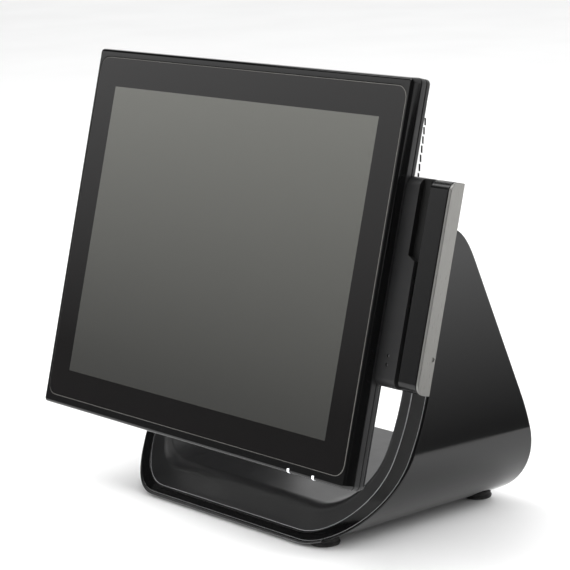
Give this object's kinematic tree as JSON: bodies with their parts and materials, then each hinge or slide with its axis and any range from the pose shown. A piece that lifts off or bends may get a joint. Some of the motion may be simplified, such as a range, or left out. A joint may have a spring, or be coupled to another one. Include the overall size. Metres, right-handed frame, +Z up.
{
  "type": "self checkout kiosk",
  "caption": "Countertop self-checkout terminal: tilting flat touch screen with a swipe card reader on its right edge, on a U-shaped cradle stand with rubber feet.",
  "frame": {"origin": "centre of the whole bounding box, at the plane the rubber feet stand on", "axes": "+X to the right along the screen, seen by the person using it, +Y from the screen towards the back, +Z up"},
  "size_m": [0.4036, 0.2258, 0.3466],
  "materials": {
    "gloss_shell": "high gloss",
    "satin_shell": "satin",
    "textured_black": "fine texture",
    "pale_plastic": "satin",
    "silver_plate": "satin anodised",
    "steel": "satin",
    "black_steel": "satin black powder coat",
    "screen_glass": "polished",
    "light_pipe": "translucent white",
    "rubber": "matt",
    "circuit_board": "satin",
    "aluminium": "plain extruded"
  },
  "bodies": {
    "stand": {"right_side_shell": "gloss_shell", "left_side_shell": "gloss_shell", "front_trim": "gloss_shell", "base_pan": "satin_shell", "inner_liner": "satin_shell", "ballast_plate": "steel", "hinge_shaft": "steel", "left_arm_plate": "steel", "left_shaft_nut": "steel", "left_shaft_collar": "satin_shell", "left_friction_washer": "steel", "left_clamp_nut": "steel", "left_front_foot": "rubber", "left_rear_foot": "rubber", "right_arm_plate": "steel", "right_shaft_nut": "steel", "right_shaft_collar": "satin_shell", "right_friction_washer": "steel", "right_clamp_nut": "steel", "right_front_foot": "rubber", "right_rear_foot": "rubber", "port_panel": "black_steel", "power_inlet": "steel", "serial_port": "steel", "network_port": "steel", "usb_port_left": "steel", "usb_port_right": "steel"},
    "head": {"front_bezel": "gloss_shell", "touch_glass": "screen_glass", "lcd_panel": "steel", "power_lens": "light_pipe", "network_lens": "light_pipe", "middle_frame": "satin_shell", "rear_frame": "satin_shell", "rear_cover": "pale_plastic", "chassis_plate": "steel", "main_board": "circuit_board", "heat_sink": "aluminium", "cover_screw_1": "black_steel", "cover_screw_2": "black_steel", "cover_screw_3": "black_steel", "cover_screw_4": "black_steel", "hinge_plate": "black_steel", "left_hinge_arm": "black_steel", "right_hinge_arm": "black_steel", "plate_screw_1": "steel", "plate_screw_2": "steel", "plate_screw_3": "steel", "plate_screw_4": "steel", "reader_inner_body": "textured_black", "reader_outer_body": "satin_shell", "reader_slot_floor": "black_steel", "reader_end_plate": "silver_plate", "read_head": "steel", "reader_light_upper": "light_pipe", "reader_light_lower": "light_pipe", "reader_bracket": "black_steel"},
    "power_button": {"power_button": "gloss_shell"}
  },
  "joints": [
    {"name": "head_tilt", "type": "hinge", "parent": "stand", "child": "head", "pos_m": [-0.0218, 0.02889, 0.201], "axis": [-1, 0, 0], "range_deg": [-10, 30]},
    {"name": "power_button_press", "type": "slide", "parent": "head", "child": "power_button", "axis": [0, 0.2588, 0.9659], "range_m": [0, 0.0015], "stiffness_N_per_m": 300}
  ]
}
